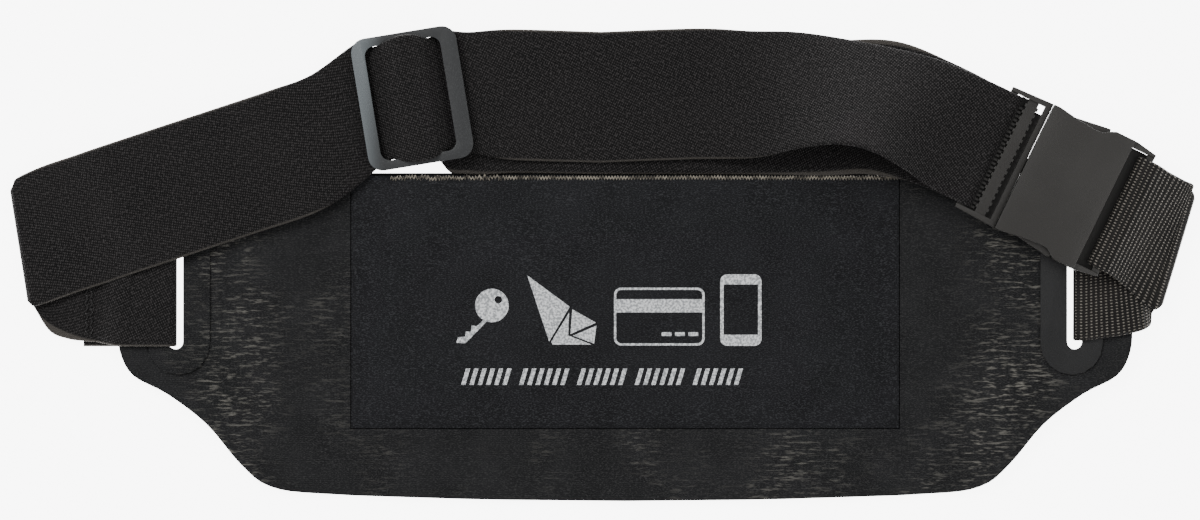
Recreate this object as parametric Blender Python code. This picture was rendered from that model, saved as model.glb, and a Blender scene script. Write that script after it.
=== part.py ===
"""A running belt lying face up: a flat stretch pouch with one pocket, an elastic waist
band, a strap slider, a side-release buckle and a short webbing.

Sizes are in millimetres and angles in degrees; meshes are scaled to metres when they are
made. The origin is the middle of the pouch's back face, with +X along the pouch, +Y
towards the pocket's mouth and +Z up from the surface that the belt lies on.
"""

import math

import bmesh
import bpy
from mathutils import Matrix, Vector

MM = 0.001
GAP = 0.3  # clearance between pieces that touch on the real belt

# Pouch
POUCH_LENGTH = 319.4
POUCH_HEIGHT = 103.3
POUCH_TOP = 52.1  # height of the top edge above the origin
WING_CORNER = 14.0
FABRIC = 0.6
PATCH_FILM = 0.4
PATCH_WIDTH = 19.6
PATCH_MARGIN = 8.0  # film beyond each end of the slot
SLOT_INSET = 18.3  # slot's middle from the end of the pouch
SLOT_WIDTH = 4.8
SLOT_LENGTH = 43.0
SLOT_MIDDLE = 18.1  # height of the slot's middle
LIFT_START = 59.7  # distance from the pouch's end where it starts to ride up on the straps
LIFT_RUN = 28.0

# Pocket
POCKET_LENGTH = 172.4
POCKET_HEIGHT = 79.4
POCKET_ROOM = 4.7  # how far the slack front stands off the back
POCKET_SLOPE = 28.2
MOUTH_INSET = 0.9  # mouth below the pouch's top edge
HEM_WIDTH = 1.6
HEM_THICKNESS = 0.5
HEM_START = 12.2  # bare mouth edge at each end, under the band

# Straps
BAND_WIDTH = 41.2
BAND = 1.2  # thickness of the elastic
WEBBING_WIDTH = 37.5
WEBBING = 1.3
TAIL = 26.7  # from the slot back to the sewn end, beneath the wing
BAND_RISE = 23.8  # middle of the upper band above the pouch's top edge
STITCH_WIDTH = 3.0
STITCH_THICKNESS = 0.4

# Slider
SLIDER_LENGTH = 33.4
SLIDER_WIDTH = 42.0
SLIDER_FRAME = 2.5
SLIDER_LEFT_BAR = 4.1
SLIDER_RIGHT_BAR = 5.2
SLIDER_RAIL = 2.9
SLIDER_CORNER = 4.6
SLIDER_HEIGHT = 4.6  # underside of its frame
SLIDER_TURN = 9.3
SLIDER_INSET = 92.8  # slider's middle from the pouch's left end
CENTRE_BAR = 1.2
CENTRE_BAR_LEFT = -1.1
CENTRE_BAR_RIGHT = 1.6
HOOK_MIDDLE = -0.5

# Buckle, in its own frame: x along the pull, y across, z up from its middle
BUCKLE_TURN = -26.0
BUCKLE_INSET = 34.5  # parting line from the pouch's right end
BUCKLE_RISE = 2.0  # parting line's middle above the pouch's top edge
BUCKLE_HEIGHT = 10.3
BUCKLE_THICKNESS = 8.0
BUCKLE_HALF = 21.5
PLUG_LENGTH = 13.8
PLUG_THICKNESS = 4.2
PLUG_RAIL = 1.9
PLUG_OUTER_BAR = 2.4
PLUG_INNER_BAR = 2.0
GRIP_BAR_FROM = 7.8
GRIP_BAR_WIDTH = 3.4
GRIP_BAR_TOP = 0.9
GRIP_TEETH = 17
GRIP_TOOTH = 0.5
BAR = 3.0  # thickness of the bars that the straps turn round
TONGUE_LENGTH = 17.0
TONGUE_HALF = 2.6
PRONG_THICKNESS = 3.6
PRONG_ROOT = 1.2
PRONG_SIDE = 15.5
PRONG_END = 19.4
SOCKET_DEPTH = 19.8
SOCKET_ROOM = 4.8
SOCKET_POST = 0.9
SOCKET_POST_LENGTH = 2.0
SOCKET_PLATE = 27.7
SOCKET_LENGTH = 35.6
SOCKET_EAR = 2.1
SOCKET_EAR_THICKNESS = 5.0
SOCKET_BAR_WIDTH = 2.4

HALF = POUCH_LENGTH / 2
BACK_TOP = FABRIC
FRONT_BOTTOM = BACK_TOP + GAP
FRONT_TOP = FRONT_BOTTOM + FABRIC
WING_LIFT = BAND + GAP + PATCH_FILM + GAP
STRIP_BOTTOM = WING_LIFT - GAP - PATCH_FILM
STRIP_TOP = WING_LIFT + FRONT_TOP + GAP + PATCH_FILM
SLOT_X = HALF - SLOT_INSET
STRIP_END = SLOT_X + SLOT_WIDTH / 2
RUN_Y = POUCH_TOP + BAND_RISE
MOUTH = POUCH_TOP - MOUTH_INSET
POCKET_TOP = FRONT_BOTTOM + POCKET_ROOM + FABRIC


def colour_of(name, colour, roughness):
    material = bpy.data.materials.new(name)
    material.use_nodes = True
    shader = material.node_tree.nodes["Principled BSDF"]
    shader.inputs["Base Color"].default_value = (*colour, 1)
    shader.inputs["Roughness"].default_value = roughness
    shader.inputs["Metallic"].default_value = 0
    return material


def add(name, bm, material, parent=None):
    """The bmesh as an object of that name, scaled to metres."""
    bmesh.ops.recalc_face_normals(bm, faces=bm.faces)
    bmesh.ops.scale(bm, vec=(MM, MM, MM), verts=bm.verts)
    mesh = bpy.data.meshes.new(name)
    bm.to_mesh(mesh)
    bm.free()
    obj = bpy.data.objects.new(name, mesh)
    bpy.context.collection.objects.link(obj)
    if material:
        mesh.materials.append(material)
    obj.parent = parent
    return obj


def helper(bm, parent=None):
    """A cutter or a join, which isn't rendered."""
    obj = add("helper", bm, None, parent)
    obj.hide_render = True
    obj.display_type = "WIRE"
    return obj


def boolean(obj, other, operation="DIFFERENCE"):
    modifier = obj.modifiers.new("Boolean", "BOOLEAN")
    modifier.operation = operation
    modifier.object = other


def pivot(name, place, turn):
    empty = bpy.data.objects.new(name, None)
    bpy.context.collection.objects.link(empty)
    empty.location = Vector(place) * MM
    empty.rotation_euler.z = math.radians(turn)
    return empty


def prism(outline, low, high):
    """A flat outline made solid between two heights."""
    bm = bmesh.new()
    base = bm.faces.new([bm.verts.new((x, y, low)) for x, y in outline])
    made = bmesh.ops.extrude_face_region(bm, geom=[base])["geom"]
    top = [v for v in made if isinstance(v, bmesh.types.BMVert)]
    bmesh.ops.translate(bm, vec=(0, 0, high - low), verts=top)
    return bm


def box(x0, x1, y0, y1, z0, z1):
    return prism([(x0, y0), (x1, y0), (x1, y1), (x0, y1)], z0, z1)


def arc(middle, radius, start, end, steps=6):
    angles = [math.radians(start + (end - start) * i / steps) for i in range(steps + 1)]
    return [(middle[0] + radius * math.cos(a), middle[1] + radius * math.sin(a)) for a in angles]


def rounded(half_length, half_width, radius):
    points = []
    for sx, sy, start in ((1, 1, 0), (-1, 1, 90), (-1, -1, 180), (1, -1, 270)):
        middle = (sx * (half_length - radius), sy * (half_width - radius))
        points += arc(middle, radius, start, start + 90)
    return points


def stadium(middle_x, middle_y, half_width, half_length):
    straight = half_length - half_width
    return arc((middle_x, middle_y + straight), half_width, 0, 180, 8) + arc(
        (middle_x, middle_y - straight), half_width, 180, 360, 8
    )


def smooth(points, steps=4):
    """Points of any number of values, with a smooth curve drawn through them."""
    rows = [Vector(p) for p in points]
    rows = [2 * rows[0] - rows[1], *rows, 2 * rows[-1] - rows[-2]]
    curve = []
    for a, b, c, d in zip(rows, rows[1:], rows[2:], rows[3:]):
        for i in range(steps):
            t = i / steps
            curve.append(
                b
                + 0.5 * t * (c - a)
                + t * t * (a - 2.5 * b + 2 * c - 0.5 * d)
                + t * t * t * (1.5 * b - 0.5 * a - 1.5 * c + 0.5 * d)
            )
    return [*curve, rows[-2]]


# Pouch


def lift(x):
    """How far the wing is raised by the straps beneath it."""
    t = (abs(x) - (HALF - LIFT_START)) / LIFT_RUN
    t = min(max(t, 0), 1)
    return WING_LIFT * t * t * (3 - 2 * t)


def pouch_outline():
    """Right half from the middle of the bottom edge, then its mirror image."""
    low = POUCH_TOP - POUCH_HEIGHT
    flank = smooth(
        [
            (0, low),
            (HALF - 110, low + 0.6),
            (HALF - 65, low + 2.2),
            (HALF - 48, low + 4.6),
            (HALF - 38.7, low + 11.7),
            (HALF - 28, low + 24.3),
            (HALF - 15.7, low + 33.7),
            (HALF - 5, low + 39.5),
            (HALF - 0.8, low + 47),
            (HALF, low + 56),
        ]
    )
    corner = arc((HALF - WING_CORNER, POUCH_TOP - WING_CORNER), WING_CORNER, 0, 90)
    right = [tuple(p) for p in flank[1:]] + corner
    return [(0, low), *right, *[(-x, y) for x, y in reversed(right)]]


def drape(bm):
    """Cuts the panel across where the wings rise, and raises them."""
    steps = 4
    for side in (-1, 1):
        for i in range(steps + 1):
            x = side * (HALF - LIFT_START + LIFT_RUN * i / steps)
            everything = [*bm.verts, *bm.edges, *bm.faces]
            bmesh.ops.bisect_plane(bm, geom=everything, plane_co=(x, 0, 0), plane_no=(1, 0, 0))
    for v in bm.verts:
        v.co.z += lift(v.co.x)


def slot_cutter(side):
    outline = stadium(side * SLOT_X, SLOT_MIDDLE, SLOT_WIDTH / 2, SLOT_LENGTH / 2)
    return helper(prism(outline, -1, STRIP_TOP + 1))


def panel(name, low, material):
    bm = prism(pouch_outline(), low, low + FABRIC)
    drape(bm)
    obj = add(name, bm, material)
    for side in (-1, 1):
        boolean(obj, slot_cutter(side))
    return obj


def pocket_layer(inset, low, shoulder, top, mouth):
    """A low mound over the pocket's rectangle, cut off square at its mouth."""
    half = POCKET_LENGTH / 2 - inset
    bottom = MOUTH - POCKET_HEIGHT + inset
    bm = prism([(-half, bottom), (half, bottom), (half, mouth), (-half, mouth)], low, shoulder)
    roof = [f for f in bm.faces if f.calc_center_median().z > shoulder - GAP / 2]
    made = bmesh.ops.extrude_face_region(bm, geom=roof)["geom"]
    bmesh.ops.delete(bm, geom=roof, context="FACES_ONLY")
    for v in made:
        if isinstance(v, bmesh.types.BMVert):
            v.co.z = top
            v.co.x -= math.copysign(POCKET_SLOPE, v.co.x)
            v.co.y += POCKET_SLOPE if v.co.y < 0 else 0
    return bm


def pocket():
    rim = 0.7
    obj = add(
        "pocket_panel",
        pocket_layer(0, FRONT_BOTTOM, FRONT_BOTTOM + rim, POCKET_TOP, MOUTH),
        pocket_fabric,
    )
    hollow = pocket_layer(
        FABRIC, 0, FRONT_BOTTOM + rim - FABRIC / 2, POCKET_TOP - FABRIC, MOUTH + POCKET_SLOPE
    )
    boolean(obj, helper(hollow))
    half = POCKET_LENGTH / 2
    seat = FRONT_BOTTOM + rim + GAP + HEM_THICKNESS / 2
    slope = (POCKET_TOP - FRONT_BOTTOM - rim) / POCKET_SLOPE
    ends = [(-half + HEM_START, HEM_START), (-half + POCKET_SLOPE, POCKET_SLOPE)]
    path = [(x, MOUTH - HEM_WIDTH / 2, seat + slope * s, 90, 0, HEM_WIDTH) for x, s in ends]
    path += [(-x, *rest) for x, *rest in reversed(path)]
    ribbon("mouth_hem", [Vector(p) for p in path], HEM_THICKNESS, hem_thread)


def pouch():
    panel("back_panel", 0, pouch_fabric)
    front = panel("front_panel", FRONT_BOTTOM, pouch_fabric)
    half = POCKET_LENGTH / 2 + GAP
    bottom = MOUTH - POCKET_HEIGHT - GAP
    boolean(front, helper(box(-half, half, bottom, POUCH_TOP + 10, -1, POCKET_TOP)))
    for side, word in ((-1, "left"), (1, "right")):
        outline = stadium(
            side * (SLOT_X - 1), SLOT_MIDDLE, PATCH_WIDTH / 2, SLOT_LENGTH / 2 + PATCH_MARGIN
        )
        layers = (("back", STRIP_BOTTOM), ("front", STRIP_TOP - PATCH_FILM))
        for face, low in layers:
            name = f"slot_patch_{word}_{face}"
            obj = add(name, prism(outline, low, low + PATCH_FILM), patch_film)
            boolean(obj, slot_cutter(side))


# Straps. A station is (x, y, z, direction across, tilt, width).


def across(station):
    turn, tilt = math.radians(station[3]), math.radians(station[4])
    level = Vector((math.cos(turn), math.sin(turn), 0)) * math.cos(tilt)
    return level - Vector((0, 0, math.sin(tilt)))


def ribbon(name, stations, thickness, material):
    """A flat strap through its stations, built by extruding one end face along them."""
    middles = [Vector(s[:3]) for s in stations]
    sections = []
    for i, station in enumerate(stations):
        ahead = middles[min(i + 1, len(middles) - 1)] - middles[max(i - 1, 0)]
        side = across(station)
        up = ahead.cross(side).normalized() * thickness / 2
        side = side * station[5] / 2
        middle = middles[i]
        corners = (middle + side + up, middle - side + up, middle - side - up, middle + side - up)
        sections.append(corners)
    bm = bmesh.new()
    face = bm.faces.new([bm.verts.new(p) for p in sections[0]])
    for before, after in zip(sections, sections[1:]):
        made = bmesh.ops.extrude_face_region(bm, geom=[face])["geom"]
        if before is not sections[0]:
            bmesh.ops.delete(bm, geom=[face], context="FACES_ONLY")
        face = next(f for f in made if isinstance(f, bmesh.types.BMFace))
        moving = {tuple(v.co): v for v in face.verts}
        for old, new in zip(before, after):
            moving[tuple(old)].co = new
    return add(name, bm, material)


def turned(place, turn, along, height, width, tilt=0):
    """A station on the middle line of a fitting that lies turned in the plane."""
    angle = math.radians(turn)
    x = place[0] + along * math.cos(angle)
    y = place[1] + along * math.sin(angle)
    return (x, y, height, turn + 90, tilt, width)


def wrap(place, turn, along, height, radius, start, end, width, steps=7):
    """Stations round a bar: angles are from the fitting's own x, seen from its side."""
    stations = []
    for i in range(steps + 1):
        a = math.radians(start + (end - start) * i / steps)
        stations.append(
            turned(place, turn, along + radius * math.cos(a), height + radius * math.sin(a), width)
        )
    return [Vector(s) for s in stations]


SLIDER_PLACE = (-HALF + SLIDER_INSET, RUN_Y - 0.4)
BUCKLE_PLACE = (HALF - BUCKLE_INSET, POUCH_TOP + BUCKLE_RISE)
BAND_OVER = STRIP_TOP + GAP + BAND / 2
WEBBING_OVER = STRIP_TOP + GAP + WEBBING / 2
BAR_TURN = BAR / 2 + GAP + BAND / 2
PLUG_BAR = -GAP - PLUG_LENGTH + PLUG_OUTER_BAR / 2 + GAP
UNDER_SLIDER = SLIDER_HEIGHT - GAP - BAND / 2
HOOK_TURN = CENTRE_BAR / 2 + GAP + BAND / 2
HOOK_HEIGHT = SLIDER_HEIGHT + CENTRE_BAR / 2
OVER_SLIDER = HOOK_HEIGHT + HOOK_TURN + BAND + GAP
SQUEEZED = SLIDER_WIDTH - 2 * SLIDER_RAIL - 0.8
PLUG_SLOT = 2 * (BUCKLE_HALF - PLUG_RAIL) - 0.8


def slot_turn(side, top, thickness, width, steps=7):
    """The strap's turn round the strip of wing outside a slot, from below to above."""
    radius = (top - thickness / 2) / 2
    stations = []
    for i in range(steps + 1):
        a = math.radians(-90 + 180 * i / steps)
        x = side * (STRIP_END + 0.1 - radius * math.cos(a))
        z = thickness / 2 + radius + radius * math.sin(a)
        stations.append(Vector((x, SLOT_MIDDLE, z, 90, 0, width)))
    return stations


def crease(place, low, high, turn, width, steps=6):
    """The strap's turn over itself at a fold, about a crease that lies at an angle."""
    outward = Vector((math.sin(math.radians(turn)), -math.cos(math.radians(turn))))
    if place[0] < 0:
        outward = -outward
    radius = (high - low) / 2
    stations = []
    for i in range(steps + 1):
        a = math.radians(-90 + 180 * i / steps)
        x, y = Vector(place) - outward * radius * (1 - math.cos(a))
        stations.append(Vector((x, y, (low + high) / 2 + radius * math.sin(a), turn, 0, width)))
    return stations


def band_from_pouch():
    """Sewn end, slot, lower leg, fold and the rise to the slider."""
    tail_end = -STRIP_END - TAIL
    tail = [(tail_end, SLOT_MIDDLE, BAND / 2, 90, 0, BAND_WIDTH)]
    tail.append((-STRIP_END - 3, SLOT_MIDDLE, BAND / 2, 90, 0, BAND_WIDTH))
    y = SLOT_MIDDLE
    over_wing = WING_LIFT + FRONT_TOP + GAP + BAND / 2
    over_tail = BAND + GAP + BAND / 2
    leg = [
        (-HALF + 9.2, y, BAND_OVER, 90, 0, BAND_WIDTH),
        (-HALF + 4.7, y, over_wing + 0.3, 90, 0, BAND_WIDTH),
        (-HALF - 0.6, y + 0.2, over_wing, 90, 0, BAND_WIDTH),
        (-HALF - 6.8, y + 1.3, over_tail, 91, 0, BAND_WIDTH),
        (-HALF - 11.3, y + 2.6, over_tail, 93, 0, BAND_WIDTH),
        (-HALF - 18.3, y + 5.6, 1.3, 96, 0, BAND_WIDTH),
        (-HALF - 25.3, y + 9.3, 0.9, 98.5, 0, BAND_WIDTH),
    ]
    fold = crease((-HALF - 30.7, y + 11.1), 0.9, 2.9, 99.2, BAND_WIDTH + 0.5)
    return tail, leg, fold


def band_rise():
    y = SLOT_MIDDLE
    clear = BAND_OVER + BAND + GAP + 0.1
    rise = [
        (-HALF - 26.8, y + 12.9, 3.0, 101, 0, BAND_WIDTH),
        (-HALF - 18.3, y + 16.2, 3.9, 105, 0, BAND_WIDTH),
        (-HALF - 8.3, y + 19.5, 4.8, 108, 0, BAND_WIDTH),
        (-HALF - 0.3, y + 22.2, clear - 0.4, 108.4, 0, BAND_WIDTH),
        (-HALF + 9.7, y + 25.5, clear, 108.4, 0, BAND_WIDTH),
        (-HALF + 21.7, y + 29.5, clear, 108.4, 0, BAND_WIDTH),
        (-HALF + 37.7, y + 34.8, 5.6, 108.4, 0, BAND_WIDTH),
        (-HALF + 54.7, y + 40.5, 4.7, 108.4, 0, BAND_WIDTH),
        (-HALF + 66.5, y + 46, 4.1, 106, 0, BAND_WIDTH - 1.8),
    ]
    return [Vector(s) for s in rise]


def in_slider(along, height, width):
    return Vector(turned(SLIDER_PLACE, SLIDER_TURN, along, height, width))


def in_buckle(along, height, width, tilt=0):
    return Vector(
        turned(BUCKLE_PLACE, BUCKLE_TURN, along, BUCKLE_HEIGHT + height, width, tilt)
    )


def band_over_slider():
    inner_left = -SLIDER_LENGTH / 2 + SLIDER_LEFT_BAR
    inner_right = SLIDER_LENGTH / 2 - SLIDER_RIGHT_BAR
    left = [
        in_slider(inner_left - 2.1, UNDER_SLIDER, SQUEEZED + 1.4),
        in_slider(inner_left + 0.3, UNDER_SLIDER - 0.25, SQUEEZED),
        in_slider(inner_left + 3.6, 5.2, SQUEEZED),
        in_slider(HOOK_MIDDLE - 4.5, OVER_SLIDER - 1, SQUEEZED),
        in_slider(HOOK_MIDDLE, OVER_SLIDER, SQUEEZED),
    ]
    right = [
        in_slider(HOOK_MIDDLE + 4.5, OVER_SLIDER - 0.8, SQUEEZED),
        in_slider(HOOK_MIDDLE + 8.2, 5.3, SQUEEZED),
        in_slider(inner_right - 0.3, UNDER_SLIDER - 0.18, SQUEEZED),
        in_slider(inner_right + 2.6, UNDER_SLIDER, SQUEEZED + 1.6),
    ]
    return left, right


def top_run():
    """From the slider to the plug: flat, then lifted at its lower edge where it turns."""
    y, end = RUN_Y, HALF - 159.7
    start = SLIDER_PLACE[0] + 66.9
    flat = [
        (start - 47.4, y + 1.2, 3.6, 95, 0, BAND_WIDTH - 2.4),
        (start - 35, y + 0.8, 3.0, 91, 0, BAND_WIDTH),
        (start - 7.9, y, 2.4, 89, 0, BAND_WIDTH),
    ]
    lifted = [
        (end + 22.7, y + 1.1, 2.7, 90, 1, BAND_WIDTH),
        (end + 40.3, y + 0.9, 5.4, 91, 8, BAND_WIDTH - 0.8),
        (end + 54.8, y + 2.1, 9.9, 90, 20, BAND_WIDTH - 2.2),
        (end + 68.4, y + 1.5, 12.4, 86, 27, BAND_WIDTH - 3.6),
        (end + 80.6, y - 1.0, 13.3, 80, 26, BAND_WIDTH - 3.6),
        (end + 92.5, y - 5.4, 13.5, 72, 16, BAND_WIDTH - 3.4),
        (end + 102, y - 10.4, 13.2, 66, 6, BAND_WIDTH - 3),
        in_buckle(PLUG_BAR - 4, BAR_TURN + 0.1, PLUG_SLOT),
    ]
    return [Vector(s) for s in flat], [Vector(s) for s in lifted]


def return_run():
    """From the plug back beneath the top run to the slider's middle bar."""
    y, end = RUN_Y - 0.9, HALF - 159.7
    start = SLIDER_PLACE[0] + 66.9
    far = [
        in_buckle(PLUG_BAR - 4.4, -BAR_TURN - 0.2, PLUG_SLOT),
        (end + 96.1, y - 7, 5.2, 68, 5, BAND_WIDTH - 1.2),
        (end + 80.3, y - 1.4, 2.9, 78, 5, BAND_WIDTH),
        (end + 61.4, y - 0.4, 1.8, 86, 3, BAND_WIDTH),
        (end + 36.2, y - 1.5, 0.8, 90, 0, BAND_WIDTH),
    ]
    near = [
        (start - 7.9, y - 1.3, 0.7, 90, 0, BAND_WIDTH),
        (start - 34, y - 0.9, 0.8, 92, 0, BAND_WIDTH),
        (start - 46, y + 1.0, 1.5, 96, 0, BAND_WIDTH - 2),
    ]
    return [Vector(s) for s in far], [Vector(s) for s in near]


def elastic():
    tail, leg, fold = band_from_pouch()
    rise = band_rise()
    loop = slot_turn(-1, BAND_OVER, BAND, BAND_WIDTH)
    ahead = smooth([*leg, fold[0]], 3)[:-1]
    rising = smooth([fold[-1], *rise], 3)
    ribbon(
        "elastic_pouch_run",
        [*map(Vector, tail), *loop, *ahead, *fold, *rising[1:-3]],
        BAND,
        elastic_weave,
    )
    left, right = band_over_slider()
    flat, lifted = top_run()
    over = smooth([*rising[-4:-3], rise[-1], *left, *right, *flat], 4)
    middle = min(range(len(over)), key=lambda i: (over[i] - left[-1]).length)
    cut = GAP / 2  # each section ends just short of the next one
    pieces = (
        ("elastic_slider_left", over[: middle + 1]),
        ("elastic_slider_right", over[middle:]),
    )
    for name, stations in pieces:
        ribbon(name, trimmed(stations, cut), BAND, elastic_weave)
    bar = wrap(
        BUCKLE_PLACE, BUCKLE_TURN, PLUG_BAR, BUCKLE_HEIGHT, BAR_TURN, 90, -90, PLUG_SLOT, 8
    )
    upper = smooth([flat[-1], *lifted, bar[0]], 3)
    ribbon("elastic_top_run", trimmed([*upper[:-1], *bar[:5]], cut), BAND, elastic_weave)
    far, near = return_run()
    hook = wrap(
        SLIDER_PLACE, SLIDER_TURN, HOOK_MIDDLE, HOOK_HEIGHT, HOOK_TURN, 270, 90, SQUEEZED, 6
    )
    lower = smooth([bar[-1], *far, near[0]], 3)
    ribbon("elastic_return_run", trimmed([*bar[4:-1], *lower], cut), BAND, elastic_weave)
    under = [
        in_slider(14.1, UNDER_SLIDER - BAND - GAP - 0.4, SQUEEZED + 1.2),
        in_slider(9, UNDER_SLIDER - BAND - GAP - 0.3, SQUEEZED),
        in_slider(4, 2.8, SQUEEZED),
    ]
    anchor = smooth([*near, *under, hook[0]], 3)
    end = in_slider(HOOK_MIDDLE + 1.9, HOOK_HEIGHT + HOOK_TURN, SQUEEZED)
    ribbon("elastic_anchor_loop", trimmed([*anchor[:-1], *hook, end], cut), BAND, elastic_weave)
    x = -STRIP_END - TAIL + 0.3
    bottom = BAND + GAP + BAND + GAP
    y = SLOT_MIDDLE + 1.8
    half = BAND_WIDTH / 2 - 2
    add(
        "elastic_tail_stitching",
        box(x, x + STITCH_WIDTH, y - half, y + half, bottom, bottom + STITCH_THICKNESS),
        stitch_thread,
    )


def trimmed(stations, cut):
    """The same stations with both ends pulled in by a hair."""
    ends = []
    for here, inside in ((stations[0], stations[1]), (stations[-1], stations[-2])):
        way = inside - here
        ends.append(here + way * cut / Vector(way[:3]).length)
    return [ends[0], *stations[1:-1], ends[1]]


def webbing():
    y = SLOT_MIDDLE + 0.6
    over_wing = WING_LIFT + FRONT_TOP + GAP + WEBBING / 2
    over_tail = WEBBING + GAP + WEBBING / 2 + 0.1
    low = WEBBING / 2
    tail = [
        (STRIP_END + TAIL, y + 1, low, 92, 0, WEBBING_WIDTH),
        (STRIP_END + 3, SLOT_MIDDLE, low, 90, 0, WEBBING_WIDTH),
    ]
    loop = slot_turn(1, WEBBING_OVER, WEBBING, WEBBING_WIDTH)
    fold_height = over_tail + 2.9
    fold = crease((HALF + 13.9, y + 8.8), over_tail, fold_height, 73.2, WEBBING_WIDTH + 5.4)
    leg = [
        loop[-1],
        (HALF - 9.2, y + 0.4, WEBBING_OVER, 92, 0, WEBBING_WIDTH),
        (HALF - 4.7, y + 1.1, over_wing + 0.4, 95, 0, WEBBING_WIDTH),
        (HALF + 0.9, y + 2.5, over_wing + 0.1, 96, 0, WEBBING_WIDTH),
        (HALF + 5.3, y + 4.3, over_tail + 0.1, 91, 0, WEBBING_WIDTH + 0.8),
        (HALF + 9.3, y + 6.6, over_tail, 81, 0, WEBBING_WIDTH + 3),
        fold[0],
    ]
    turn = BAR / 2 + GAP + WEBBING / 2
    bar_x = SOCKET_LENGTH - SOCKET_BAR_WIDTH / 2 - GAP
    bar = wrap(
        BUCKLE_PLACE, BUCKLE_TURN, bar_x, BUCKLE_HEIGHT, turn, 90, 270, WEBBING_WIDTH, 8
    )
    upper = [
        fold[-1],
        (HALF + 11.3, y + 10.9, fold_height + 0.4, 68, 0, WEBBING_WIDTH + 3.5),
        (HALF + 6.8, y + 14.1, fold_height + 2.6, 61, 0, WEBBING_WIDTH + 1),
        (HALF + 2.6, y + 16.8, fold_height + 5.2, 63, 0, WEBBING_WIDTH),
        in_buckle(bar_x + 3.4, turn - 0.3, WEBBING_WIDTH),
        bar[0],
    ]
    end = [
        in_buckle(bar_x + 3, -turn - 0.1, WEBBING_WIDTH),
        in_buckle(bar_x + 6, -turn - 0.2, WEBBING_WIDTH),
    ]
    stations = [
        *map(Vector, tail),
        *loop[:-1],
        *smooth(leg, 3)[:-1],
        *fold[:-1],
        *smooth(upper, 3)[:-1],
        *bar,
        *end,
    ]
    ribbon("webbing_strap", stations, WEBBING, webbing_weave)
    x = HALF + 6
    bottom = over_tail + WEBBING / 2 + 2 * GAP
    middle, half = y + 7, WEBBING_WIDTH / 2 - 7
    add(
        "webbing_tail_stitching",
        box(x, x + STITCH_WIDTH, middle - half, middle + half, bottom, bottom + STITCH_THICKNESS),
        stitch_thread,
    )


# Slider


def slider():
    place = pivot("slider_pivot", (*SLIDER_PLACE, SLIDER_HEIGHT), SLIDER_TURN)
    half = SLIDER_LENGTH / 2
    frame = add(
        "slider_frame",
        prism(rounded(half, SLIDER_WIDTH / 2, SLIDER_CORNER), 0, SLIDER_FRAME),
        slider_plastic,
        place,
    )
    left, right = half - SLIDER_LEFT_BAR, half - SLIDER_RIGHT_BAR
    opening = rounded((left + right) / 2, SLIDER_WIDTH / 2 - SLIDER_RAIL, SLIDER_CORNER - 1.6)
    middle = (right - left) / 2
    outline = [(x + middle, y) for x, y in opening]
    boolean(frame, helper(prism(outline, -1, SLIDER_FRAME + 1), place))
    reach = SLIDER_WIDTH / 2 - SLIDER_RAIL / 2
    bar = box(CENTRE_BAR_LEFT, CENTRE_BAR_RIGHT, -reach, reach, 0.0, CENTRE_BAR)
    bmesh.ops.translate(bar, vec=(0, 0, 0.001), verts=bar.verts)
    boolean(frame, helper(bar, place), "UNION")


# Buckle


def plug(place):
    back = -GAP - PLUG_LENGTH
    half = PLUG_THICKNESS / 2
    taper = 0.6
    outline = [
        (back, taper - BUCKLE_HALF),
        (-GAP, -BUCKLE_HALF),
        (-GAP, BUCKLE_HALF),
        (back, BUCKLE_HALF - taper),
    ]
    body = add("plug_body", prism(outline, -half, half), buckle_plastic, place)
    inner = BUCKLE_HALF - PLUG_RAIL
    slot_from, slot_to = back + PLUG_OUTER_BAR, -GAP - PLUG_INNER_BAR
    boolean(body, helper(box(slot_from, slot_to, -inner, inner, -5, 5), place))
    for low, high in ((BAR / 2, 5), (-5, -BAR / 2)):
        boolean(body, helper(box(back - 1, slot_from + 0.5, -inner, inner, low, high), place))
    grip_left, grip_right = -GRIP_BAR_FROM, -GRIP_BAR_FROM + GRIP_BAR_WIDTH
    pitch = 2 * (inner - 1) / GRIP_TEETH
    reach = inner + PLUG_RAIL / 2
    comb = [(grip_left, -reach)]
    for side, sign in ((grip_right, 1), (grip_left, -1)):
        if sign == 1:
            comb.append((grip_right, -reach))
        for i in range(GRIP_TEETH):
            y = sign * (-inner + 1 + pitch * (i + 0.25))
            tip = side + sign * GRIP_TOOTH
            comb += [(side, y), (tip, y), (tip, y + sign * pitch / 2), (side, y + sign * pitch / 2)]
        if sign == 1:
            comb += [(grip_right, reach), (grip_left, reach)]
    grip = prism(comb, -half + 0.1, GRIP_BAR_TOP)
    boolean(body, helper(grip, place), "UNION")
    tongue = box(-GAP - 1, TONGUE_LENGTH, -TONGUE_HALF, TONGUE_HALF, *prong_span())
    boolean(body, helper(tongue, place), "UNION")
    for side, word in ((1, "upper"), (-1, "lower")):
        prong(place, side, word)


def prong_span():
    return -PRONG_THICKNESS / 2, PRONG_THICKNESS / 2


def prong(place, side, word):
    """A spring arm whose outer edge is a long ramp, turning about its root."""
    hinge = pivot(f"prong_{word}_pivot", (PRONG_ROOT, side * PRONG_SIDE, 0), 0)
    hinge.parent = place
    end = PRONG_END - PRONG_ROOT
    root = arc((0, 0), PRONG_ROOT, 90, 270, 6)
    arm = [(10.8, 0.5), (17.2, 3.5), (end, 4.0), (end, 6.8), (end - 1.4, 6.7), (2.6, 4.7)]
    outline = [(x, side * y) for x, y in root + arm]
    add(f"prong_{word}", prism(outline, *prong_span()), buckle_plastic, hinge)


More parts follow.
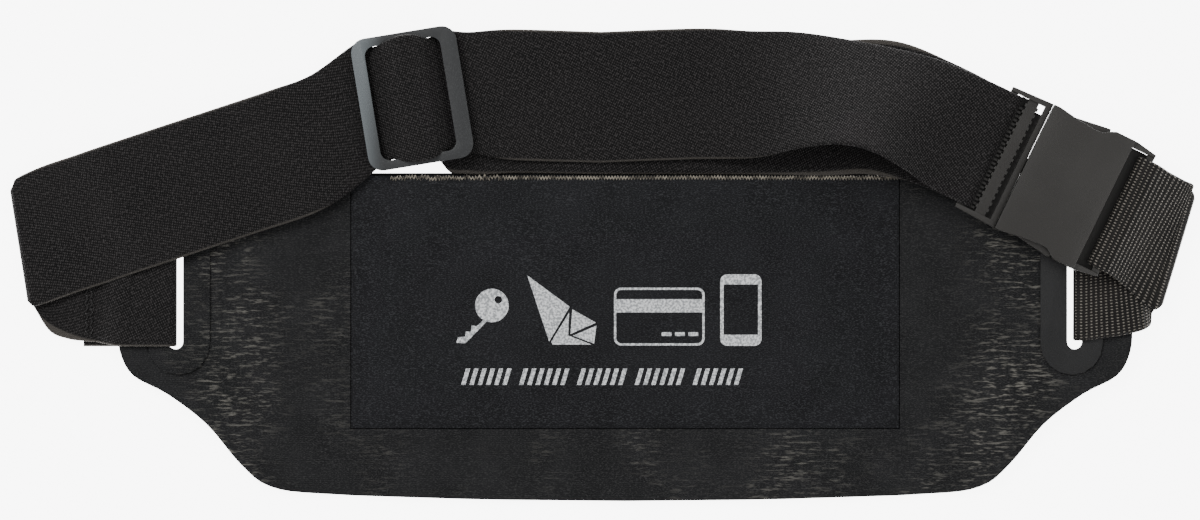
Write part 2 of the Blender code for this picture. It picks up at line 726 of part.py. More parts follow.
def socket(place):
    half = BUCKLE_THICKNESS / 2
    waist = BUCKLE_HALF - 1.6
    flare = BUCKLE_HALF + 0.8
    side = [
        (0, BUCKLE_HALF),
        (SOCKET_POST_LENGTH, BUCKLE_HALF),
        (9, waist + 0.5),
        (15, waist),
        (17.5, waist + 0.2),
        (19.6, BUCKLE_HALF + 0.1),
        (21.2, flare),
        (SOCKET_PLATE + 1, flare),
        (SOCKET_LENGTH, flare - 1.2),
    ]
    outline = [*side, *[(x, -y) for x, y in reversed(side)]]
    shell = add("socket_shell", prism(outline, -half, half), buckle_plastic, place)
    room = SOCKET_ROOM / 2
    inner = BUCKLE_HALF - SOCKET_POST
    web = BUCKLE_HALF + 0.8 - SOCKET_EAR
    bar_from = SOCKET_LENGTH - SOCKET_BAR_WIDTH
    cuts = [
        (-1, SOCKET_DEPTH, -inner, inner, -room, room),
        (SOCKET_POST_LENGTH, SOCKET_DEPTH, -40, 40, -room, room),
        (SOCKET_PLATE, bar_from, -web, web, -9, 9),
    ]
    for sign in (-1, 1):
        ear = sorted((sign * SOCKET_EAR_THICKNESS / 2, sign * 9))
        bar = sorted((sign * BAR / 2, sign * 9))
        cuts.append((SOCKET_PLATE, SOCKET_LENGTH + 1, -40, 40, *ear))
        cuts.append((bar_from - 1, SOCKET_LENGTH + 1, -web, web, *bar))
    for cut in cuts:
        boolean(shell, helper(box(*cut), place))


bpy.context.view_layer.update()
for old in list(bpy.data.objects):
    bpy.data.objects.remove(old, do_unlink=True)

pouch_fabric = colour_of("pouch_fabric", (0.018, 0.019, 0.022), 0.8)
pocket_fabric = colour_of("pocket_fabric", (0.012, 0.013, 0.017), 0.85)
patch_film = colour_of("patch_film", (0.02, 0.02, 0.022), 0.6)
hem_thread = colour_of("hem_thread", (0.22, 0.2, 0.16), 0.8)
elastic_weave = colour_of("elastic_weave", (0.013, 0.012, 0.013), 0.85)
webbing_weave = colour_of("webbing_weave", (0.03, 0.027, 0.024), 0.7)
stitch_thread = colour_of("stitch_thread", (0.015, 0.014, 0.014), 0.8)
slider_plastic = colour_of("slider_plastic", (0.09, 0.095, 0.1), 0.5)
buckle_plastic = colour_of("buckle_plastic", (0.045, 0.042, 0.038), 0.5)

pouch()
pocket()
elastic()
webbing()
slider()
buckle = pivot("buckle_pivot", (*BUCKLE_PLACE, BUCKLE_HEIGHT), BUCKLE_TURN)
plug(buckle)
socket(buckle)
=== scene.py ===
# Running belt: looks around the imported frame.
import math
import random

import bmesh
import bpy
from mathutils import Matrix, Vector, noise


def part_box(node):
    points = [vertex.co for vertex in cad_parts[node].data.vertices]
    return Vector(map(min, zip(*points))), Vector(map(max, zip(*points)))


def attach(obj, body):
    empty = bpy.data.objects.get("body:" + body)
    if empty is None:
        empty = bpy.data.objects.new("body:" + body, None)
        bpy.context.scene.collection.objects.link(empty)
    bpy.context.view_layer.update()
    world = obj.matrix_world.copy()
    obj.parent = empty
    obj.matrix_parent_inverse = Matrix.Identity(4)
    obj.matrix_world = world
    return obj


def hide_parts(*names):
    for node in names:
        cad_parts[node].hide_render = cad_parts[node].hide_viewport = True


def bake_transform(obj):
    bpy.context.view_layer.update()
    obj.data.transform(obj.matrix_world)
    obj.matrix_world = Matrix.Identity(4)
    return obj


mm = 0.001
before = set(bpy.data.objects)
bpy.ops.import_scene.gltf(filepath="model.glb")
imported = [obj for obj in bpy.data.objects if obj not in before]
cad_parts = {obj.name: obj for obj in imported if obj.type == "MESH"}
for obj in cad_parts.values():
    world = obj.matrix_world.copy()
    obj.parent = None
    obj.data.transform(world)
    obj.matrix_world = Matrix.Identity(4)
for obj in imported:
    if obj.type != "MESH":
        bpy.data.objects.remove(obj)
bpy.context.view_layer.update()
pocketLow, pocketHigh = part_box("pocket_panel")
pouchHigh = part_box("back_panel")[1]
dice = random.Random(7)
print("frame loaded")


# Shader maths written as plain expressions.
class Flow:
    def __init__(self, tree, socket):
        self.tree = tree
        self.socket = socket

    def math(self, operation, other=0.5):
        return node(self.tree, "ShaderNodeMath", {"operation": operation}, [self, other])

    def __add__(self, other):
        return self.math("ADD", other)

    def __sub__(self, other):
        return self.math("SUBTRACT", other)

    def __rsub__(self, other):
        return node(self.tree, "ShaderNodeMath", {"operation": "SUBTRACT"}, [other, self])

    def __mul__(self, other):
        return self.math("MULTIPLY", other)

    __radd__ = __add__
    __rmul__ = __mul__

    def wave(self, pitch):
        # 0 to 1 and back, once each pitch
        return (self * (2 * math.pi / pitch)).math("SINE") * 0.5 + 0.5

    def ramp(self, low, high):
        span = {"clamp": True, "interpolation_type": "SMOOTHSTEP"}
        return node(self.tree, "ShaderNodeMapRange", span, [self, low, high, 0.0, 1.0])


# Adds one node: its settings first, then its sockets' values or links.
def node(tree, kind, settings=None, values=(), output=0):
    made = tree.nodes.new(kind)
    for key, value in (settings or {}).items():
        setattr(made, key, value)
    pairs = values.items() if isinstance(values, dict) else enumerate(values)
    for key, value in pairs:
        if isinstance(value, Flow):
            tree.links.new(value.socket, made.inputs[key])
        else:
            made.inputs[key].default_value = value
    return Flow(tree, made.outputs[output])


# A colour mix takes its two colours at sockets 6 and 7, and gives one at 2.
def mixColour(tree, share, first, second):
    values = {0: share, 6: first, 7: second}
    return node(tree, "ShaderNodeMix", {"data_type": "RGBA"}, values, 2)


def fleck(tree, where, scale, detail, stretch=None):
    if stretch:
        where = node(tree, "ShaderNodeMapping", {}, {"Vector": where, "Scale": stretch})
    values = {"Vector": where, "Scale": scale, "Detail": detail}
    return node(tree, "ShaderNodeTexNoise", {}, values)


# One noise for each row of a settings dictionary, in its order.
def flecks(tree, where, rows):
    return [fleck(tree, where, **row) for row in rows.values()]


def split(tree, where):
    return [node(tree, "ShaderNodeSeparateXYZ", {}, [where], i) for i in range(2)]


def objectPlace(tree):
    return node(tree, "ShaderNodeTexCoord", output="Object")


def startMaterial(name, roughness, sheen, specular):
    made = bpy.data.materials.new(name)
    made.use_nodes = True
    tree = made.node_tree
    shader = tree.nodes["Principled BSDF"]
    shader.inputs["Roughness"].default_value = roughness
    shader.inputs["Sheen Weight"].default_value = sheen
    shader.inputs["Sheen Roughness"].default_value = 0.4
    shader.inputs["Specular IOR Level"].default_value = specular
    return made, tree, shader


def finishMaterial(tree, shader, colour, height, relief, roughness=None):
    tree.links.new(colour.socket, shader.inputs["Base Color"])
    bump = node(tree, "ShaderNodeBump", {}, {"Strength": 1.0, "Distance": relief, "Height": height})
    tree.links.new(bump.socket, shader.inputs["Normal"])
    if roughness:
        tree.links.new(roughness.socket, shader.inputs["Roughness"])


clothNoise = {
    "speck": {"scale": 1600, "detail": 1.0, "stretch": (1.0, 2.6, 1.0)},
    "streak": {"scale": 1150, "detail": 2.0, "stretch": (0.13, 1.0, 1.0)},
    "fine": {"scale": 2100, "detail": 1.0, "stretch": (0.22, 1.0, 1.0)},
    "crease": {"scale": 110, "detail": 3.0, "stretch": (0.35, 1.6, 1.0)},
    "patch": {"scale": 26, "detail": 2.0},
    "shade": {"scale": 60, "detail": 4.0},
}
# The bands here, beside the slot patches and along the pocket's lower edge, lay painted sheen into
# the cloth's colour. The speck share sets the cloth's own flecks.
clothGrainAndSheen = {
    "specular": 0.16, "warpPitch": 1.6, "sheenBandFade": (0.002, 0.02),
    "belowPocket": -0.008, "intoPocket": 0.004, "speckShare": 0.7,
}


# Charcoal stretch cloth: fine level threads, with golden glints in patches. The glints are painted
# sheen: highlights painted into the colour that stand in for light on the cloth's wrinkles.
def stretchCloth(name, look):
    grainAndSheen = clothGrainAndSheen
    made, tree, shader = startMaterial(name, look["roughness"], look["sheen"], grainAndSheen["specular"])
    place = objectPlace(tree)
    x, y = split(tree, place)
    speck, streak, fine, crease, patch, shade = flecks(tree, place, clothNoise)
    weft = y.wave(look["thread"]) * 0.6 + x.wave(look["thread"] * grainAndSheen["warpPitch"]) * 0.4
    # Painted sheen: golden streaks laid into the colour beside the slot patches and along the lower
    # edge. They stand in for light glinting off the cloth's wrinkles.
    fromPaintedSheen = (x.math("ABSOLUTE") - look["fleckAndSheen"]).math("ABSOLUTE")
    nearPaintedSheen = 1 - fromPaintedSheen.ramp(*grainAndSheen["sheenBandFade"])
    lowEdge = 1 - y.ramp(pocketLow.y + grainAndSheen["belowPocket"], pocketLow.y + grainAndSheen["intoPocket"])
    spread = patch.ramp(0.45, 0.7) * (0.4 + lowEdge * 0.5) + nearPaintedSheen * patch.ramp(0.3, 0.6)
    glint = (streak * 0.6 + fine * 0.4).ramp(0.5, 0.66) * spread * look["glint"]
    base = mixColour(tree, shade.ramp(0.3, 0.7), look["dark"], look["light"])
    fleckAndSheen = mixColour(tree, speck.ramp(0.48, 0.7) * grainAndSheen["speckShare"], base, look["fleck"])
    colour = mixColour(tree, glint, fleckAndSheen, look["paintedGlintGold"])
    height = weft * 0.35 + speck * 0.6 + crease * look["creases"] + glint * 0.6
    finishMaterial(tree, shader, colour, height, look["relief"])
    return made


weaveShared = {"specular": 0.16, "speckStretch": (1.0, 0.8, 1.0), "haze": 0.05, "edgeShare": 0.55}


# Woven elastic or webbing on its own UV map: U along and V across, in millimetres.
def wovenBand(name, look):
    made, tree, shader = startMaterial(
        name, look["roughness"], look["sheen"], weaveShared["specular"]
    )
    place = node(tree, "ShaderNodeUVMap", {"uv_map": "strap"})
    along, across = split(tree, place)
    row = (across + along * look["slant"]).wave(look["cord"])
    pick = (along - across * look["slant"]).wave(look["pick"])
    speck = fleck(tree, place, look["speck"], 2.0, weaveShared["speckStretch"])
    haze = fleck(tree, place, weaveShared["haze"], 3.0)
    thread = row * pick
    mixed = thread * look["weave"] + speck * (1.4 - look["weave"])
    lit = mixed.ramp(look["litFrom"], look["litTo"])
    base = mixColour(tree, haze.ramp(0.3, 0.7), look["dark"], look["light"])
    body = mixColour(tree, lit * look["litShare"], base, look["fleck"])
    edge = across.math("ABSOLUTE").ramp(look["edgeFrom"], look["edgeTo"])
    colour = mixColour(tree, edge * weaveShared["edgeShare"], body, look["edge"])
    finishMaterial(tree, shader, colour, thread * 0.6 + speck * 0.4, look["relief"])
    return made


# The slider's middle: the slider's painted highlight is laid to the left of it.
sliderMiddle = sum(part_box("slider_frame"), Vector()).x / 2
plasticNoise = {"grain": {"scale": 2600, "detail": 2.0}, "cloud": {"scale": 40, "detail": 3.0}}
plasticGloss = {"specular": 0.3, "spread": 0.16, "grainShare": 0.3}


# Satin plastic. One with a tilt setting gets a painted highlight: its left side is painted paler
# and bluish, standing in for light falling on the arched slider frame's left bar.
def mouldedPlastic(name, look):
    made, tree, shader = startMaterial(name, look["roughness"], 0.0, plasticGloss["specular"])
    place = objectPlace(tree)
    grain, cloud = flecks(tree, place, plasticNoise)
    colour = mixColour(tree, cloud.ramp(0.3, 0.7), look["dark"], look["light"])
    # Painted highlight: the part's left side is mixed towards the lit colour.
    if "tilt" in look:
        side = split(tree, place)[0] - sliderMiddle
        share = 1 - side.ramp(-look["tilt"], -look["tilt"] * 0.5)
        colour = mixColour(tree, share, colour, look["lit"])
    fleckAndSheen = mixColour(
        tree, grain.ramp(0.55, 0.8) * plasticGloss["grainShare"], colour, look["fleck"]
    )
    gloss = grain * plasticGloss["spread"] + (look["roughness"] - plasticGloss["spread"] / 2)
    finishMaterial(tree, shader, fleckAndSheen, grain + cloud * 0.3, look["relief"], gloss)
    return made


threadNoise = {"tint": {"scale": 420, "detail": 3.0}, "twist": {"scale": 2400, "detail": 1.0}}
threadLook = {"roughness": 0.75, "sheen": 0.2, "specular": 0.3, "relief": 0.0001}


def threadMaterial(name, dark, light):
    made, tree, shader = startMaterial(
        name, threadLook["roughness"], threadLook["sheen"], threadLook["specular"]
    )
    tint, twist = flecks(tree, objectPlace(tree), threadNoise)
    colour = mixColour(tree, tint.ramp(0.35, 0.65), dark, light)
    finishMaterial(tree, shader, colour, twist, threadLook["relief"])
    return made


silverLook = {
    "bright": (0.62, 0.63, 0.64, 1), "dull": (0.24, 0.25, 0.26, 1), "grain": 1500,
    "roughness": 0.45, "specular": 0.6, "relief": 0.00006,
}


# Reflective print: fine bright and dark grains.
def silverPrint(name, look):
    made, tree, shader = startMaterial(name, look["roughness"], 0.0, look["specular"])
    grain = fleck(tree, objectPlace(tree), look["grain"], 2.0)
    colour = mixColour(tree, grain.ramp(0.4, 0.6), look["dull"], look["bright"])
    finishMaterial(tree, shader, colour, grain, look["relief"])
    return made


# The glint amount, its distance from the middle and its golden colour place painted sheen: streaks
# standing in for light on the cloth's wrinkles.
pouchLook = {
    "roughness": 0.68, "sheen": 0.05, "thread": 0.0006, "glint": 0.7, "creases": 2.4,
    "relief": 0.00028, "dark": (0.0035, 0.0037, 0.0042, 1), "light": (0.008, 0.0082, 0.009, 1),
    "fleck": (0.03, 0.03, 0.03, 1), "paintedGlintGold": (0.125, 0.12, 0.106, 1), "fleckAndSheen": 0.122,
}
# The pocket gets only a faint, grey painted sheen.
pocketLook = {
    "roughness": 0.8, "sheen": 0.04, "thread": 0.0006, "glint": 0.05, "creases": 0.4,
    "relief": 0.00014, "dark": (0.0035, 0.0036, 0.0044, 1), "light": (0.0065, 0.0067, 0.008, 1),
    "fleck": (0.032, 0.033, 0.036, 1), "paintedGlintGold": (0.05, 0.05, 0.05, 1), "fleckAndSheen": 0.2,
}
elasticLook = {
    "roughness": 0.85, "sheen": 0.03, "weave": 0.4, "cord": 0.9, "pick": 0.78, "slant": 0.5,
    "speck": 1.5, "litFrom": 0.5, "litTo": 0.92, "litShare": 0.9, "relief": 0.00022,
    "edgeFrom": 19.7, "edgeTo": 20.4, "dark": (0.0016, 0.0014, 0.0015, 1),
    "light": (0.0034, 0.003, 0.0031, 1), "fleck": (0.039, 0.036, 0.036, 1),
    "edge": (0.075, 0.068, 0.06, 1),
}
webbingLook = {
    "roughness": 0.6, "sheen": 0.05, "weave": 0.75, "cord": 0.95, "pick": 1.5, "slant": 0.0,
    "speck": 2.4, "litFrom": 0.55, "litTo": 1.05, "litShare": 0.95, "relief": 0.0005,
    "edgeFrom": 30, "edgeTo": 31, "dark": (0.0025, 0.0022, 0.0018, 1),
    "light": (0.007, 0.006, 0.0052, 1), "fleck": (0.17, 0.155, 0.135, 1),
    "edge": (0.05, 0.045, 0.04, 1),
}
# The lit colour and the tilt span paint a highlight on the slider's left side. The dark, light and
# fleck colours are its own grey.
sliderLook = {
    "roughness": 0.38, "relief": 0.00005, "dark": (0.024, 0.025, 0.026, 1), "tilt": 0.0167,
    "light": (0.031, 0.032, 0.033, 1), "fleck": (0.09, 0.095, 0.098, 1),
    "lit": (0.105, 0.118, 0.125, 1),
}
buckleLook = {
    "roughness": 0.46, "relief": 0.00005, "dark": (0.021, 0.0197, 0.0182, 1),
    "light": (0.025, 0.0236, 0.0217, 1), "fleck": (0.05, 0.047, 0.043, 1),
}
filmLook = {
    "roughness": 0.62, "relief": 0.00015, "dark": (0.0045, 0.0046, 0.005, 1),
    "light": (0.009, 0.0091, 0.0094, 1), "fleck": (0.03, 0.03, 0.03, 1),
}
pouchCloth = stretchCloth("pouchCloth", pouchLook)
pocketCloth = stretchCloth("pocketCloth", pocketLook)
elasticWeave = wovenBand("elasticWeave", elasticLook)
webbingWeave = wovenBand("webbingWeave", webbingLook)
sliderPlastic = mouldedPlastic("sliderPlastic", sliderLook)
bucklePlastic = mouldedPlastic("bucklePlastic", buckleLook)
patchFilm = mouldedPlastic("patchFilm", filmLook)
hemThread = threadMaterial("hemThread", (0.035, 0.03, 0.023, 1), (0.2, 0.18, 0.145, 1))
blackThread = threadMaterial(
    "blackThread", (0.004, 0.0037, 0.0037, 1), (0.012, 0.011, 0.011, 1)
)
silver = silverPrint("silverPrint", silverLook)
print("materials made")


# The bmesh as a finished piece: smooth with sharp corners, object at the origin.
def makePiece(name, bm, material, sharp=40):
    bmesh.ops.recalc_face_normals(bm, faces=bm.faces)
    mesh = bpy.data.meshes.new(name)
    bm.to_mesh(mesh)
    bm.free()
    mesh.shade_smooth()
    mesh.set_sharp_from_angle(angle=math.radians(sharp))
    mesh.materials.append(material)
    piece = bpy.data.objects.new(name, mesh)
    bpy.context.collection.objects.link(piece)
    return piece


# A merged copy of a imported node, its flat faces joined up again.
def nodeMesh(name):
    bm = bmesh.new()
    bm.from_mesh(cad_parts[name].data)
    bmesh.ops.remove_doubles(bm, verts=bm.verts, dist=0.00001)
    bmesh.ops.dissolve_limit(
        bm, angle_limit=math.radians(1), verts=bm.verts, edges=bm.edges, delimit=set()
    )
    return bm


# Cuts a mesh across on a square grid, so that its surface can be shaped.
def gridCut(bm, step):
    low = [min(v.co[i] for v in bm.verts) for i in range(2)]
    high = [max(v.co[i] for v in bm.verts) for i in range(2)]
    for i, normal in enumerate(((1, 0, 0), (0, 1, 0))):
        for k in range(1, int((high[i] - low[i]) / step) + 1):
            where = Vector((0, 0, 0))
            where[i] = low[i] + k * step
            everything = [*bm.verts, *bm.edges, *bm.faces]
            bmesh.ops.bisect_plane(bm, geom=everything, plane_co=where, plane_no=normal)


# Eases from 0 to 1 as the value does.
def step01(value):
    value = min(max(value, 0), 1)
    return value * value * (3 - 2 * value)


clothAngle = 50
pouchShape = {
    "backStep": 0.005, "frontStep": 0.0026, "backShare": 0.5, "frontShare": 0.6,
    "ripple": 0.00028, "wingRipple": 0.0006, "wingFade": 0.02, "lowStart": 0.004, "lowFade": 0.01,
    "wave": (0.0304, 0.016 / 1.5, 0.3), "fine": (0.016 / 1.2, 0.004, 2.3),
}


# Smooth noise over the cloth, with its size along x and y and its own seed.
def clothWave(x, y, shape):
    return noise.noise(Vector((x / shape[0], y / shape[1], shape[2])))


# Slack in the cloth: more of it in the wings and along the lower edge.
def clothRipple(x, y):
    look = pouchShape
    wing = step01((abs(x) - pocketHigh.x) / look["wingFade"])
    low = step01((pocketLow.y + look["lowStart"] - y) / look["lowFade"])
    amount = look["ripple"] + look["wingRipple"] * max(wing, low)
    return (clothWave(x, y, look["wave"]) + clothWave(x, y, look["fine"]) * 0.5) * amount


def pouchPanel(name, nodeName, step, share, upwards):
    bm = nodeMesh(nodeName)
    gridCut(bm, step)
    bm.normal_update()
    for v in bm.verts:
        amount = clothRipple(v.co.x, v.co.y)
        v.co.z += share * (abs(amount) if upwards else amount)
    piece = makePiece(name, bm, pouchCloth, clothAngle)
    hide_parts(nodeName)
    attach(piece, "pouch")
    return piece


backSheet = pouchPanel(
    "backPanel", "back_panel", pouchShape["backStep"], pouchShape["backShare"], True
)
frontSheet = pouchPanel(
    "frontPanel", "front_panel", pouchShape["frontStep"], pouchShape["frontShare"], False
)
print("pouch panels made")

pocketShape = {
    "columns": 140, "rows": 66, "thickness": 0.0006, "base": 0.0015, "bond": 0.0007,
    "bondStart": -0.0004, "bondFade": 0.0012, "crown": 0.0016, "border": 0.0035,
    "slope": 0.022, "groove": 0.0038, "grooveDepth": 0.00014, "grooveWidth": 0.0005,
    "waves": 0.0005, "slackFade": 0.02, "wave": (0.035, 0.022, 5.1), "fine": (0.012, 0.009, 1.7),
    "mouth": 0.012, "lip": 0.0006, "lipPitch": 0.011,
}


# The slack front's own height over its bonded border.
def pocketHeight(x, y):
    look = pocketShape
    side = min(x - pocketLow.x, pocketHigh.x - x)
    edge = min(side, y - pocketLow.y)
    height = look["base"] + look["bond"] * step01((edge - look["bondStart"]) / look["bondFade"])
    height += look["crown"] * step01((edge - look["border"]) / look["slope"])
    fromGroove = (side - look["groove"]) / look["grooveWidth"]
    height -= look["grooveDepth"] * math.exp(-(fromGroove**2))
    slack = look["waves"] * step01((edge - look["border"]) / look["slackFade"])
    wave = clothWave(x, y, look["wave"]) + 0.4 * clothWave(x, y, look["fine"])
    mouth = step01((y - pocketHigh.y + look["mouth"]) / look["mouth"])
    lip = look["lip"] * mouth * math.sin(x / look["lipPitch"])
    return height + slack * wave + lip * step01(side / look["slackFade"])


def pocketFront():
    look = pocketShape
    bm = bmesh.new()
    bmesh.ops.create_grid(bm, x_segments=look["columns"], y_segments=look["rows"], size=0.5)
    for v in bm.verts:
        x = pocketLow.x + (v.co.x + 0.5) * (pocketHigh.x - pocketLow.x)
        y = pocketLow.y + (v.co.y + 0.5) * (pocketHigh.y - pocketLow.y)
        v.co = (x, y, pocketHeight(x, y))
    bmesh.ops.solidify(bm, geom=list(bm.faces), thickness=look["thickness"])
    piece = makePiece("pocketFront", bm, pocketCloth, clothAngle)
    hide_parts("pocket_panel")
    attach(piece, "pouch")
    return piece


pocketSheet = pocketFront()
print("pocket made")


# A curve through a strap's stations, with a number of steps from each to the next.
# A station is (x, y, z, direction across, tilt, width), in millimetres and degrees.
def smooth(points, steps):
    rows = [Vector(p) for p in points]
    rows = [2 * rows[0] - rows[1], *rows, 2 * rows[-1] - rows[-2]]
    curve = []
    for a, b, c, d in zip(rows, rows[1:], rows[2:], rows[3:]):
        for i in range(steps):
            t = i / steps
            curve.append(
                b + 0.5 * t * (c - a)
                + t * t * (a - 2.5 * b + 2 * c - 0.5 * d)
                + t * t * t * (1.5 * b - 0.5 * a - 1.5 * c + 0.5 * d)
            )
    return [*curve, rows[-2]]


# The same stations at even steps along the strap.
def evenly(stations, step):
    lengths = [0.0]
    for a, b in zip(stations, stations[1:]):
        lengths.append(lengths[-1] + Vector((b - a)[:3]).length)
    count = max(2, round(lengths[-1] / step))
    made, k = [], 0
    for i in range(count + 1):
        target = lengths[-1] * i / count
        while k < len(lengths) - 2 and lengths[k + 1] < target:
            k += 1
        share = (target - lengths[k]) / max(lengths[k + 1] - lengths[k], 1e-9)
        made.append(stations[k].lerp(stations[k + 1], share))
    return made, lengths[-1]


# Round the strap's section once: flat faces with half-round edges.
def sectionPoints(columns, roundSteps):
    flat = [1 - 2 * i / columns for i in range(columns + 1)]
    points = [(a, 0.0, 1.0) for a in flat]
    for i in range(1, roundSteps):
        turn = math.pi * i / roundSteps
        points.append((-1.0, -math.sin(turn), math.cos(turn)))
    points += [(-a, 0.0, -1.0) for a in flat]
    for i in range(1, roundSteps):
        turn = math.pi * i / roundSteps
        points.append((1.0, math.sin(turn), -math.cos(turn)))
    return points


# A strap along its stations, with the UV map that its weave follows.
def strap(name, stations, look, material, startAt=0.0):
    rows, length = evenly(stations, look["step"])
    count = len(rows)
    section = sectionPoints(look["columns"], look["edgeSteps"])
    around = len(section)
    middles = [Vector(s[:3]) for s in rows]
    frames = []
    for i, s in enumerate(rows):
        ahead = middles[min(i + 1, count - 1)] - middles[max(i - 1, 0)]
        turn, tilt = math.radians(s[3]), math.radians(s[4])
        side = Vector((math.cos(turn), math.sin(turn), 0)) * math.cos(tilt)
        side -= Vector((0, 0, math.sin(tilt)))
        frames.append((side, ahead.cross(side).normalized()))
    thick = look["thickness"] / 2
    bm = bmesh.new()
    uv = bm.loops.layers.uv.new("strap")
    bmesh.ops.create_grid(bm, x_segments=count - 1, y_segments=around, size=0.5)
    cell = {}
    for v in bm.verts:
        i = round((v.co.x + 0.5) * (count - 1))
        j = round((v.co.y + 0.5) * around)
        cell[v] = (i, j)
    for v, (i, j) in cell.items():
        share, out, up = section[j % around]
        side, normal = frames[i]
        along = startAt + length * i / (count - 1)
        width = rows[i][5] / 2 - thick
        rib = 0.0
        if "rib" in look:
            rib = look["ribHeight"] * (abs(math.sin(math.pi * along / look["rib"])) - 0.5)
        cup = look["cup"] * (share**2) * math.sin(along / look["cupLength"] + 0.6 * share)
        height = up * (thick + rib) + cup
        v.co = (middles[i] + side * (share * width + out * thick) + normal * height) * mm
    for face in bm.faces:
        for loop in face.loops:
            i, j = cell[loop.vert]
            share, out, up = section[j % around]
            along = startAt + length * i / (count - 1)
            loop[uv].uv = (along, share * (rows[i][5] / 2 - thick) + out * thick)
    bmesh.ops.remove_doubles(bm, verts=bm.verts, dist=1e-7)
    rims = [e for e in bm.edges if e.is_boundary]
    bmesh.ops.holes_fill(bm, edges=rims, sides=0)
    piece = makePiece(name, bm, material, 60)
    return piece, length


# Where the belt's slots, runs and fittings lie, in millimetres.
half = pouchHigh.x / mm
slotY = 18.1
stripEnd = half - 15.9
runY = 75.9
fittings = {
    "slider": {"place": (-half + 92.8, runY - 0.4), "turn": 9.3, "squeezed": 35.4},
    "buckle": {"place": (half - 34.5, 54.1), "turn": -26.0, "height": 10.3, "slot": 38.4},
}


# A station on a fitting, at a distance along it from its middle.
def onFitting(word, along, height, width):
    fitting = fittings[word]
    angle = math.radians(fitting["turn"])
    x = fitting["place"][0] + along * math.cos(angle)
    y = fitting["place"][1] + along * math.sin(angle)
    return Vector((x, y, height + fitting.get("height", 0), fitting["turn"] + 90, 0, width))


# A strap's turn round one of a fitting's bars.
def roundBar(word, along, height, radius, start, end, width, steps=16):
    angles = [math.radians(start + (end - start) * i / steps) for i in range(steps + 1)]
    return [
        onFitting(word, along + radius * math.cos(a), height + radius * math.sin(a), width)
        for a in angles
    ]


# The strap's turn round the strip of pouch outside a slot, from beneath to above.
def slotTurn(side, top, thickness, width, steps=14):
    radius = (top - thickness / 2) / 2
    made = []
    for i in range(steps + 1):
        a = math.radians(-90 + 180 * i / steps)
        x = side * (stripEnd + 0.1 - radius * math.cos(a))
        made.append(Vector((x, slotY, thickness / 2 + radius * (1 + math.sin(a)), 90, 0, width)))
    return made


# A fold of the strap over itself, from its lower layer to its upper one.
def foldTurn(place, low, high, turn, width, pinch, steps=12):
    outward = Vector((math.sin(math.radians(turn)), -math.cos(math.radians(turn))))
    outward *= math.copysign(1, place[0])
    radius = (high - low) / 2
    made = []
    for i in range(steps + 1):
        a = math.radians(-90 + 180 * i / steps)
        x, y = Vector(place) - outward * radius * (1 - math.cos(a))
        narrow = width - pinch * math.cos(a) ** 2
        made.append(Vector((x, y, (low + high) / 2 + radius * math.sin(a), turn, 0, narrow)))
    return made


bandShape = {
    "thickness": 1.15, "width": 41.2, "step": 1.0, "columns": 22, "edgeSteps": 4,
    "cup": 0.16, "cupLength": 9.0, "give": 0.022, "curve": 8, "legCurve": 6,
}
bandWidth = bandShape["width"]
bandTail = [
    Vector((-stripEnd - 26.7, slotY, 0.6, 90, 0, bandWidth)),
    Vector((-stripEnd - 3, slotY, 0.6, 90, 0, bandWidth)),
]
bandLeg = [
    (-half + 9.2, slotY, 5.3, 90, 0, bandWidth),
    (-half + 4.7, slotY, 4.9, 90, 0, bandWidth),
    (-half - 0.6, slotY + 0.2, 4.6, 90, 0, bandWidth),
    (-half - 6.8, slotY + 1.3, 2.1, 91, 0, bandWidth),
    (-half - 11.3, slotY + 2.0, 2.1, 93, 0, bandWidth + 0.8),
    (-half - 18.3, slotY + 3.9, 1.3, 96, 0, bandWidth + 3.2),
    (-half - 25.0, slotY + 6.8, 0.9, 98.5, 0, bandWidth + 4.2),
]
bandRise = [
    (-half - 27.8, slotY + 12.5, 3.0, 101, 0, bandWidth - 0.6),
    (-half - 18.3, slotY + 16.2, 3.9, 105, 0, bandWidth),
    (-half - 8.3, slotY + 19.5, 4.8, 108, 0, bandWidth),
    (-half - 0.3, slotY + 22.2, 6.5, 108.4, 0, bandWidth),
    (-half + 9.7, slotY + 25.5, 6.9, 108.4, 0, bandWidth),
    (-half + 21.7, slotY + 29.5, 6.9, 108.4, 0, bandWidth),
    (-half + 37.7, slotY + 34.8, 5.6, 108.4, 0, bandWidth),
    (-half + 54.7, slotY + 40.5, 4.7, 108.4, 0, bandWidth),
]
# The band's widths through the slider and the plug.
squeezed = fittings["slider"]["squeezed"]
plugSlot = fittings["buckle"]["slot"]
bandOver = [
    (-half + 66.5, slotY + 46, 4.1, 106, 0, bandWidth - 1.8),
    onFitting("slider", -14.7, 3.7, squeezed + 4.8),
    onFitting("slider", -12.3, 3.45, squeezed + 2.6),
    onFitting("slider", -9.0, 5.6, squeezed + 0.5),
    onFitting("slider", -5.0, 8.1, squeezed + 3.2),
    onFitting("slider", -0.5, 9.0, squeezed + 4.8),
    onFitting("slider", 4.0, 8.2, squeezed + 3.8),
    onFitting("slider", 7.7, 5.7, squeezed + 0.5),
    onFitting("slider", 11.2, 3.52, squeezed + 2.6),
    onFitting("slider", 14.1, 3.7, squeezed + 3.4),
]
topSeam = (-7.9, runY, 2.8, 89, 0, bandWidth)
underSeam = (-7.9, runY - 3.7, 1.2, 90, 0, bandWidth)
bandPast = [
    (-47.4, runY + 1.2, 3.6, 95, 0, bandWidth - 2.4),
    (-35, runY + 0.8, 3.3, 91, 0, bandWidth),
    topSeam,
]
